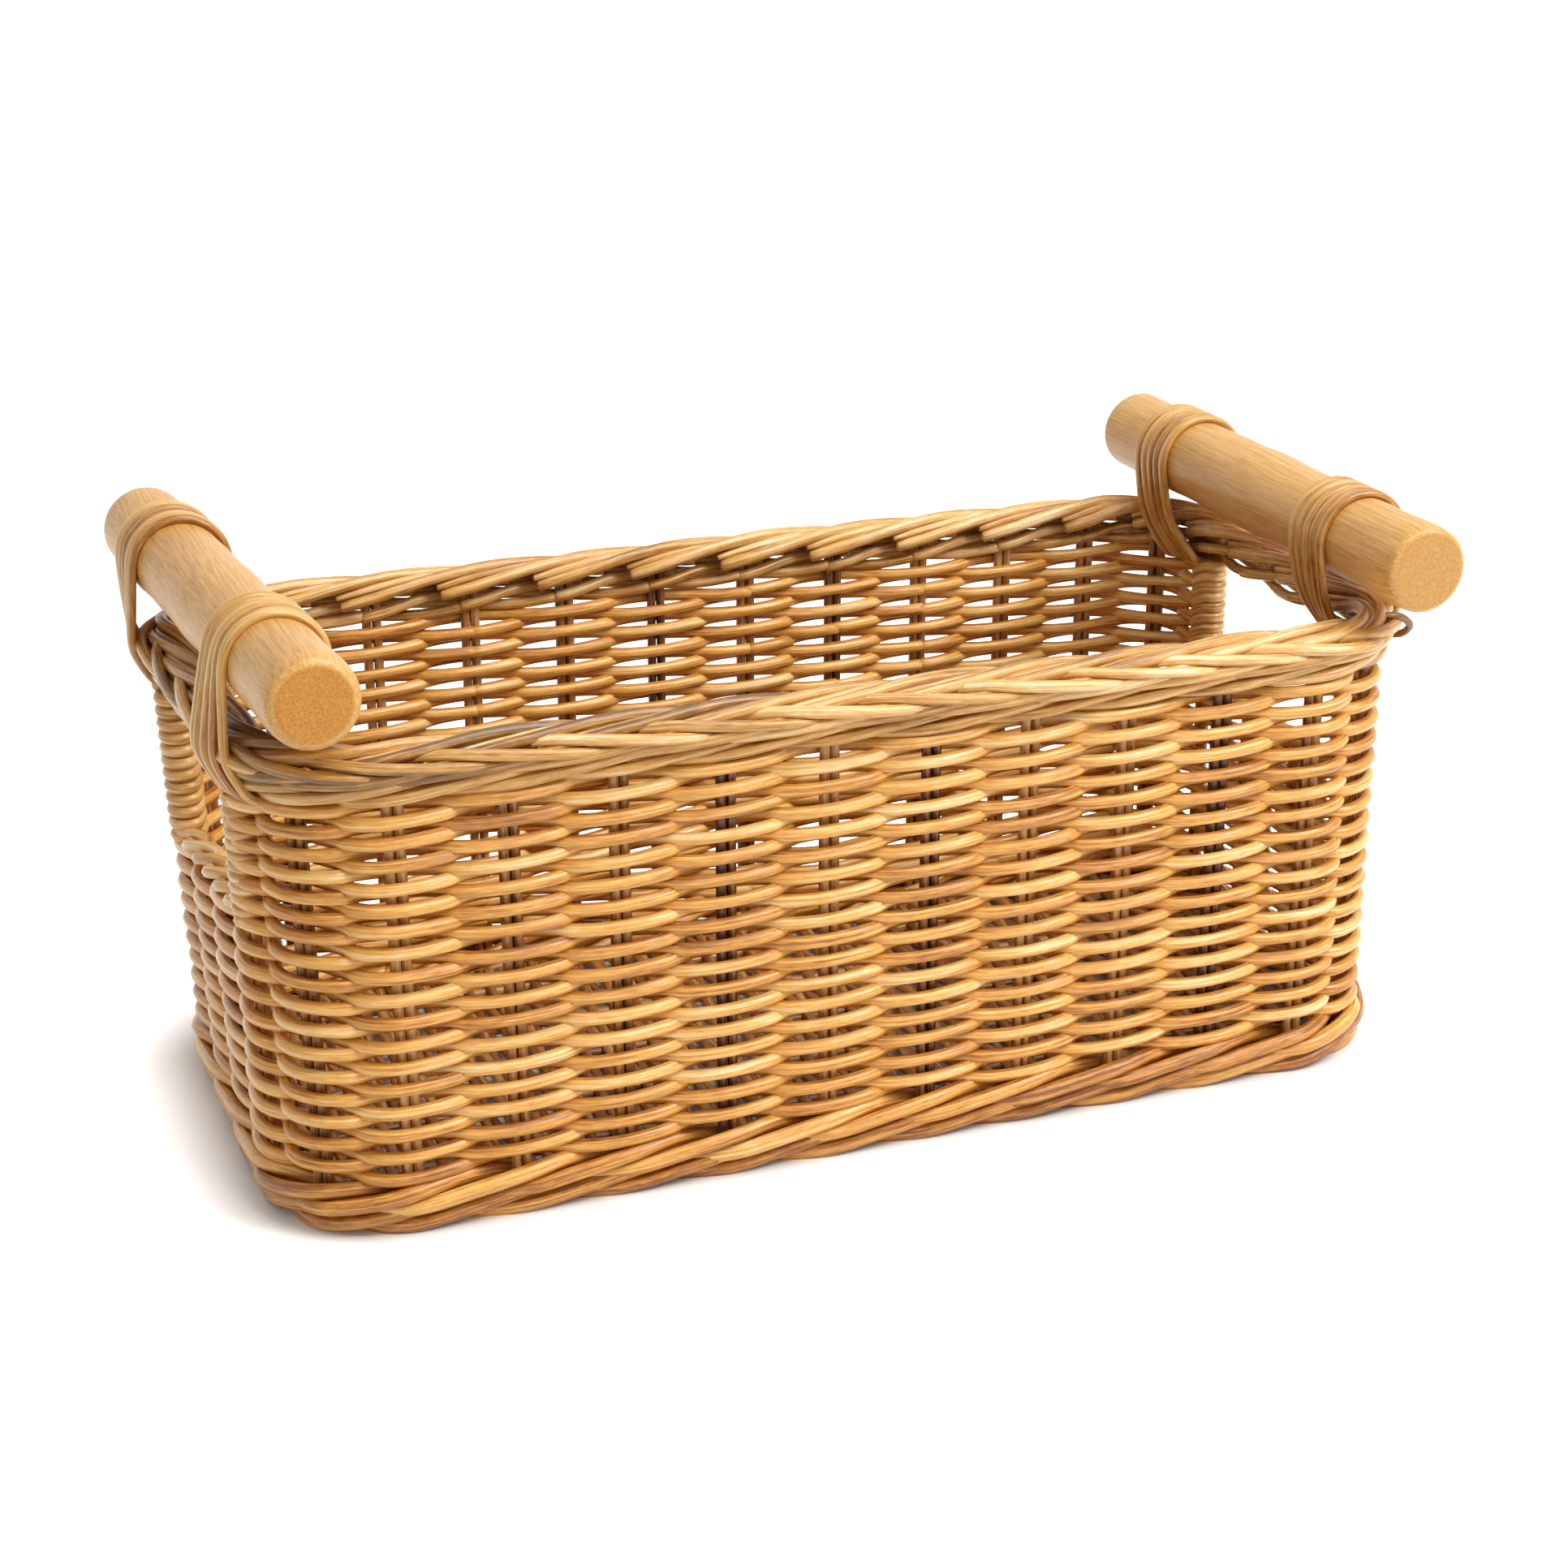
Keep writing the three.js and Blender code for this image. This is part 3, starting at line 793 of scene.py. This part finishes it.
# Waling: three strands, each outside two stakes and inside one
def waling_ring(bundle, radius, middle, reach, tones, inset=0.0):
    for turn in range(waling_strands):
        for start in range(turn, stake_count + turn, waling_strands):
            number = np.linspace(*waling_span, waling_points)
            shape = smooth_curve(waling_keys, number)
            offset = shape[:, 0] * reach - inset + wander(number, out_wander)
            height = middle + shape[:, 1] * radius * 2 + wander(number, up_wander)
            path = on_line(along(number + start), offset, height)
            bundle.tube(path, radius * chance.uniform(*waling_spread), chance.uniform(*tones))


def top_waling():
    bundle = Bundle()
    waling_ring(bundle, waling_radius, **waling_course)
    bundle.piece("top_waling_strands", straw, "weave", ["top_waling"])


def foot():
    bundle = Bundle()
    waling_ring(bundle, foot_radius, **upper_course)
    waling_ring(bundle, foot_radius, **lower_course)
    bundle.piece("foot_strands", honey, "weave", ["foot_border"])


# Rolled border: rods that rise outside, roll over the top and end inside, thinner rods beside them on
# the top, and outer strokes that come from under the top and slope down outside
def border_rod(bundle, keys, start, radius, taper):
    keys = np.asarray(keys)
    at_left = on_line(along(start + keys[:1, 0]), np.zeros(1), 0.0)[0][0] < -straight_x
    is_grey = chance.uniform() < (left_grey_share if at_left else grey_share)
    tone = chance.uniform(*(grey_tones if is_grey else pale_tones))
    steps = round((keys[-1, 0] - keys[0, 0]) * border_steps_per_stake)
    number = np.linspace(keys[0, 0], keys[-1, 0], steps + 1)
    shape = smooth_curve(keys, number)
    share = np.linspace(0, 1, len(number))
    thin = 1 - taper * (share ** taper_power + (1 - share) ** taper_power)
    offset = shape[:, 0] + wander(number, border_wander)
    height = waling_top + shape[:, 1] + wander(number, border_wander)
    bundle.tube(on_line(along(number + start), offset, height), radius * thin, tone)


# The dark end of a rod, which stands out as a small loop at the right front corner
def loose_loop(bundle):
    number = np.linspace(loop_keys[0][0], loop_keys[-1][0], loop_points)
    shape = smooth_curve(loop_keys, number)
    place = along(number + stake_number("stake_pair_corner_front_right"))
    bundle.tube(on_line(place, shape[:, 0], waling_top + shape[:, 1]), loop_radius, loop_tone)


def rolled_border():
    bundle = Bundle()
    for start in range(stake_count):
        for keys, lag, radius, spread, taper in border_rods:
            border_rod(bundle, keys, start + lag, radius * chance.uniform(*spread), taper)
    loose_loop(bundle)
    bundle.piece("border_strands", straw, "rim", ["rolled_border"])


# Posts at the hand holes, wrapped with one strand that runs level round the outside and steps up by
# one turn on the inside
def wrapped_post(node, stake):
    low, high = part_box(node)
    turns = round((high[2] - low[2]) / wrap_pitch)
    coil = np.linspace(0, turns, turns * points_per_wrap + 1)
    part = np.clip((np.mod(coil, 1) - step_start) / step_length, 0, 1)
    level = np.floor(coil) + part ** 2 * (3 - 2 * part)
    height = low[2] + wrap_pitch / 2 + (high[2] - low[2]) * level / turns
    place = stake_distance(stake) + wrap_half_width * np.sin(coil * full_turn)
    offset = wrap_half_depth * np.cos(coil * full_turn)
    bundle = Bundle()
    bundle.tube(on_line(place, offset, height), wrap_radius, wrap_tone)
    bundle.piece(node + "_wrap", straw, "rim", [node])


# Sill: two strands twisted round each other on the lower edge of a hand hole
def sill(node, first, last):
    start = stake_distance(first)
    place = np.linspace(start, stake_distance(last), sill_points)
    twist = (place - start) / sill_half_turn * math.pi
    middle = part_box(node)[0][2] + strand_radius
    bundle = Bundle()
    for turn in (0, math.pi):
        offset = sill_half_depth * np.cos(twist + turn)
        height = middle + sill_half_height * np.sin(twist + turn)
        bundle.tube(on_line(place, offset, height), strand_radius, chance.uniform(*pale_tones))
    bundle.piece(node + "_strands", straw, "rim", [node])


# Base: strands across the basket, over and under five sticks
def base_sticks(names, height):
    bundle = Bundle()
    for node in names:
        low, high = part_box(node)
        x = np.linspace(low[0], high[0], stick_points)
        path = np.stack((x, np.full_like(x, middle_of(node).y), np.full_like(x, height)), axis=-1)
        bundle.tube(path, (high[1] - low[1]) / 2, chance.uniform(*stick_tones))
    bundle.piece("base_sticks", brown, "stake", names)


def base_strands(low, high, height, spacing):
    bundle = Bundle()
    count = int((high[0] - low[0]) / base_pitch)
    for number in range(count):
        x = (number - (count - 1) / 2) * base_pitch
        over = max(0.0, abs(x) - (high[0] - base_corner))
        cut = base_corner - math.sqrt(max(0.0, base_corner ** 2 - over ** 2))
        reach = high[1] + base_margin - cut
        y = np.linspace(-reach, reach, base_points)
        wave = np.cos(math.pi * (y / spacing + number))
        path = np.stack((np.full_like(y, x), y, height + base_rise * wave), axis=-1)
        radius = base_radius * chance.uniform(*base_spread)
        bundle.tube(path, radius, chance.uniform(*base_tones), sides=base_sides)
    bundle.piece("base_strands", dark_weave, "base_weave", ["base_weave"])


def base():
    low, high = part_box("base_weave")
    height = (low[2] + high[2]) / 2
    stick_names = sorted(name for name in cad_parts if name.startswith("base_stick_"))
    spacing = abs(middle_of(stick_names[1]).y - middle_of(stick_names[0]).y)
    base_sticks(stick_names, height)
    base_strands(low, high, height, spacing)


# Poles: slightly uneven round lengths with rounded ends. The left one sits a little askew.
def askew(node, points):
    shift, turn = pole_forms[node][:2]
    middle = middle_of(node)
    points = np.array(points, dtype=float)
    x = points[:, 0] - middle.x
    y = points[:, 1] - middle.y
    points[:, 0] = middle.x + shift + x * math.cos(turn) - y * math.sin(turn)
    points[:, 1] = middle.y + x * math.sin(turn) + y * math.cos(turn)
    return points


# Rings of a pole from end to end, each a place along it and a radius
def pole_profile(length, radius, rounding, knot, phase):
    flat = [(0.0, (radius - rounding) * share) for share in end_rings]
    arc = np.linspace(math.pi / 2, 0, edge_points)
    edge = np.stack((rounding * (1 - np.sin(arc)), radius - rounding * (1 - np.cos(arc))), axis=1)
    near = np.concatenate((flat, edge))
    far = np.stack((length - near[::-1, 0], near[::-1, 1]), axis=1)
    place = np.linspace(rounding, length - rounding, pole_rings)[1:-1]
    part = place / length
    swell = knot * np.exp(-((part - knot_place) / knot_length) ** 2)
    swell += long_wave[1] * np.sin(part * long_wave[0] + phase)
    swell += short_wave[1] * np.sin(part * short_wave[0])
    return np.concatenate((near, np.stack((place, radius + swell), axis=1), far))


def pole(node, material):
    low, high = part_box(node)
    middle = middle_of(node)
    rounding, knot, phase = pole_forms[node][2:]
    profile = pole_profile(high[1] - low[1], (high[0] - low[0]) / 2, rounding, knot, phase)
    angle = np.linspace(0, full_turn, pole_sides, endpoint=False)
    x = middle.x + profile[:, 1:] * np.cos(angle)
    y = np.broadcast_to(low[1] + profile[:, :1], x.shape)
    z = middle.z + profile[:, 1:] * np.sin(angle)
    points = np.stack((x, y, z), axis=-1).reshape(-1, 3)
    faces = [face[::-1] for face in sleeve_faces(0, len(profile), pole_sides)]
    mesh = new_mesh(node + "_wood", askew(node, points), faces, material)
    mesh.validate()
    place_piece(node + "_wood", mesh, [node])


# Lashings: turns of flat cane, each a closed loop round a pole and the border below it
def bends_right(first, second, third):
    across = (second[0] - first[0]) * (third[1] - first[1])
    return across <= (second[1] - first[1]) * (third[0] - first[0])


def hull(points):
    points = sorted(map(tuple, points))
    outline = []
    for ordered in (points, points[::-1]):
        chain = []
        for point in ordered:
            while len(chain) > 1 and bends_right(chain[-2], chain[-1], point):
                chain.pop()
            chain.append(point)
        outline.extend(chain[:-1])
    return np.array(outline)


def wall_at(y, outside):
    bend = max(0.0, abs(y) - straight_y)
    wall = outside * (straight_x + math.sqrt(corner_radius ** 2 - bend ** 2))
    return wall + lean(y, rim_height) if outside < 0 else wall


# Outline that a turn is stretched round: the pole, the border, the tuck below it, and bends where the
# cane comes in from the wider pole to the rim
def lashing_outline(pole_x, pole_z, pole_radius, wall, bottom):
    angle = np.linspace(0, full_turn, loop_corners, endpoint=False)
    circle = np.stack((np.cos(angle), np.sin(angle)), axis=1)
    rim_middle = (wall, waling_top + lashing_height)
    points = [(wall - tuck_half_width, bottom), (wall + tuck_half_width, bottom)]
    points += list((pole_x, pole_z) + circle * pole_radius)
    points += list(rim_middle + circle * (lashing_reach, lashing_half_height))
    for side in (-1, 1):
        rim_edge = wall + side * lashing_reach
        way = pole_x + side * pole_radius - rim_edge
        if side * way > 0:
            points += [(rim_edge + share * way, waling_top + rise) for share, rise in lashing_bends]
    return hull(points)


def lashing_loop(outline):
    closed = np.concatenate((outline, outline[:1]))
    run = run_along(closed)
    place = np.linspace(0, run[-1], loop_corners, endpoint=False)
    x = np.interp(place, run, closed[:, 0])
    z = np.interp(place, run, closed[:, 1])
    for _ in range(smoothings):
        x = (np.roll(x, 1) + 2 * x + np.roll(x, -1)) / 4
        z = (np.roll(z, 1) + 2 * z + np.roll(z, -1)) / 4
    lowest = int(np.argmin(z))
    return np.roll(x, -lowest), np.roll(z, -lowest)


def lashing_turn(spot, aside, x, z, gather, drift):
    share = np.linspace(0, 1, len(x), endpoint=False)
    down = np.clip((waling_top + gather_height - z) / gather_length, 0, 1)
    sway = wander(share * lashing_sway[0], lashing_sway[1])
    y = spot.y + aside * (1 - gather * down) + drift * down + sway
    path = np.stack((x, y, z), axis=-1)
    return np.concatenate((path, path[:2]))


def lashing(node, pole_node, outside):
    low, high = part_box(node)
    spot = middle_of(node)
    pole_low, pole_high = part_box(pole_node)
    pole_middle = middle_of(pole_node)
    pole_radius = (pole_high[0] - pole_low[0]) / 2 + lashing_thickness
    pitch = (high[1] - low[1] - 2 * lashing_half_band) / (lashing_turns - 1)
    gather, drift = front_left_gather if node == "lashing_front_left" else usual_gather
    bundle = Bundle()
    for turn in range(lashing_turns):
        aside = pitch * (turn - (lashing_turns - 1) / 2)
        over = askew(pole_node, [(pole_middle.x, spot.y + aside, pole_middle.z)])[0]
        wall = wall_at(spot.y + drift + aside * (1 - gather), outside)
        bottom = low[2] + lashing_thickness
        x, z = lashing_loop(lashing_outline(over[0], over[2], pole_radius, wall, bottom))
        bundle.tube(
            lashing_turn(spot, aside, x, z, gather, drift),
            lashing_half_band,
            chance.uniform(*lashing_tones),
            across=crosswise,
            flatness=lashing_thickness / lashing_half_band,
            sides=lashing_sides,
            painted_shade_share=lashing_painted_shade,
        )
    bundle.piece(node + "_cane", split_cane, "lashing", [node])


# Stage: white floor, white background and soft light
def seen(owner):
    rays = paint(owner, "ShaderNodeLightPath")
    value = rays.outputs["Is Camera Ray"]
    for kind in ("Is Glossy Ray", "Is Transmission Ray"):
        either = paint(owner, "ShaderNodeMath", operation="MAXIMUM")
        link(owner, value, either.inputs[0])
        link(owner, rays.outputs[kind], either.inputs[1])
        value = either.outputs[0]
    return value


# How far a spot of the floor lies from the rectangle between the middles of the corners
def distance_from_straight(material):
    source = paint(material, "ShaderNodeTexCoord").outputs["Object"]
    steps = (
        ("ABSOLUTE", None),
        ("SUBTRACT", (straight_x, straight_y, 0)),
        ("MAXIMUM", (0, 0, 0)),
    )
    for operation, value in steps:
        node = paint(material, "ShaderNodeVectorMath", operation=operation)
        link(material, source, node.inputs[0])
        if value:
            node.inputs[1].default_value = value
        source = node.outputs[0]
    length = paint(material, "ShaderNodeVectorMath", operation="LENGTH")
    link(material, source, length.inputs[0])
    return length.outputs["Value"]


# The floor brightens to the white of the background away from the basket; close to the footprint its
# glow is held low, a painted shadow band round the basket
def floor_material():
    material, shader = new_material("floor_white")
    set_inputs(shader, {"Base Color": floor_colour, "Emission Color": white})
    set_inputs(shader, floor_finish)
    fade = paint(material, "ShaderNodeMapRange", interpolation_type="SMOOTHSTEP")
    set_inputs(fade, {"From Min": corner_radius, "From Max": corner_radius + painted_shadow_width})
    set_inputs(fade, {"To Min": near_glow, "To Max": far_glow})
    link(material, distance_from_straight(material), fade.inputs["Value"])
    glow = paint(material, "ShaderNodeMath", operation="MULTIPLY")
    link(material, seen(material), glow.inputs[0])
    link(material, fade.outputs[0], glow.inputs[1])
    link(material, glow.outputs[0], shader.inputs["Emission Strength"])
    return material


def white_floor():
    mesh = bpy.data.meshes.new("floor")
    corners = [(floor_reach * x, floor_reach * y, 0) for x, y in ((-1, -1), (1, -1), (1, 1), (-1, 1))]
    mesh.from_pydata(corners, [], [(0, 1, 2, 3)])
    mesh.materials.append(floor_material())
    floor = bpy.data.objects.new("floor", mesh)
    bpy.context.collection.objects.link(floor)


# The background is white to the camera, and its light on the basket is dimmer and warmer
def background():
    world = bpy.data.worlds.new("studio")
    bpy.context.scene.world = world
    world.use_nodes = True
    sky = world.node_tree.nodes["Background"]
    level = paint(world, "ShaderNodeMapRange")
    set_inputs(level, {"To Min": unseen_level, "To Max": 1.0})
    link(world, seen(world), level.inputs["Value"])
    link(world, level.outputs[0], sky.inputs["Strength"])
    first, second, result = colour_mix(world, seen(world))
    first.default_value = unseen_tint
    second.default_value = white
    link(world, result, sky.inputs["Color"])


def soft_light():
    for name, spot, width, power in lamps:
        lamp = bpy.data.lights.new(name, "AREA")
        lamp.size = width
        lamp.energy = power
        holder = bpy.data.objects.new(name, lamp)
        holder.location = spot
        aim = view_target - Vector(spot)
        holder.rotation_euler = aim.to_track_quat("-Z", "Y").to_euler()
        bpy.context.collection.objects.link(holder)


stakes()
lower_wall()
upper_walls()
top_waling()
foot()
rolled_border()
for side in ("left", "right"):
    for end in ("front", "back"):
        wrapped_post(f"wrapped_post_{end}_{side}", f"stake_pair_post_{end}_{side}")
sill("sill_cap_left", "stake_pair_post_back_left", "stake_pair_post_front_left")
sill("sill_cap_right", "stake_pair_post_front_right", "stake_pair_post_back_right")
base()
pole("pole_left", left_wood)
pole("pole_right", right_wood)
for side, outside in (("left", -1), ("right", 1)):
    for end in ("front", "back"):
        lashing(f"lashing_{end}_{side}", f"pole_{side}", outside)
white_floor()
background()
soft_light()
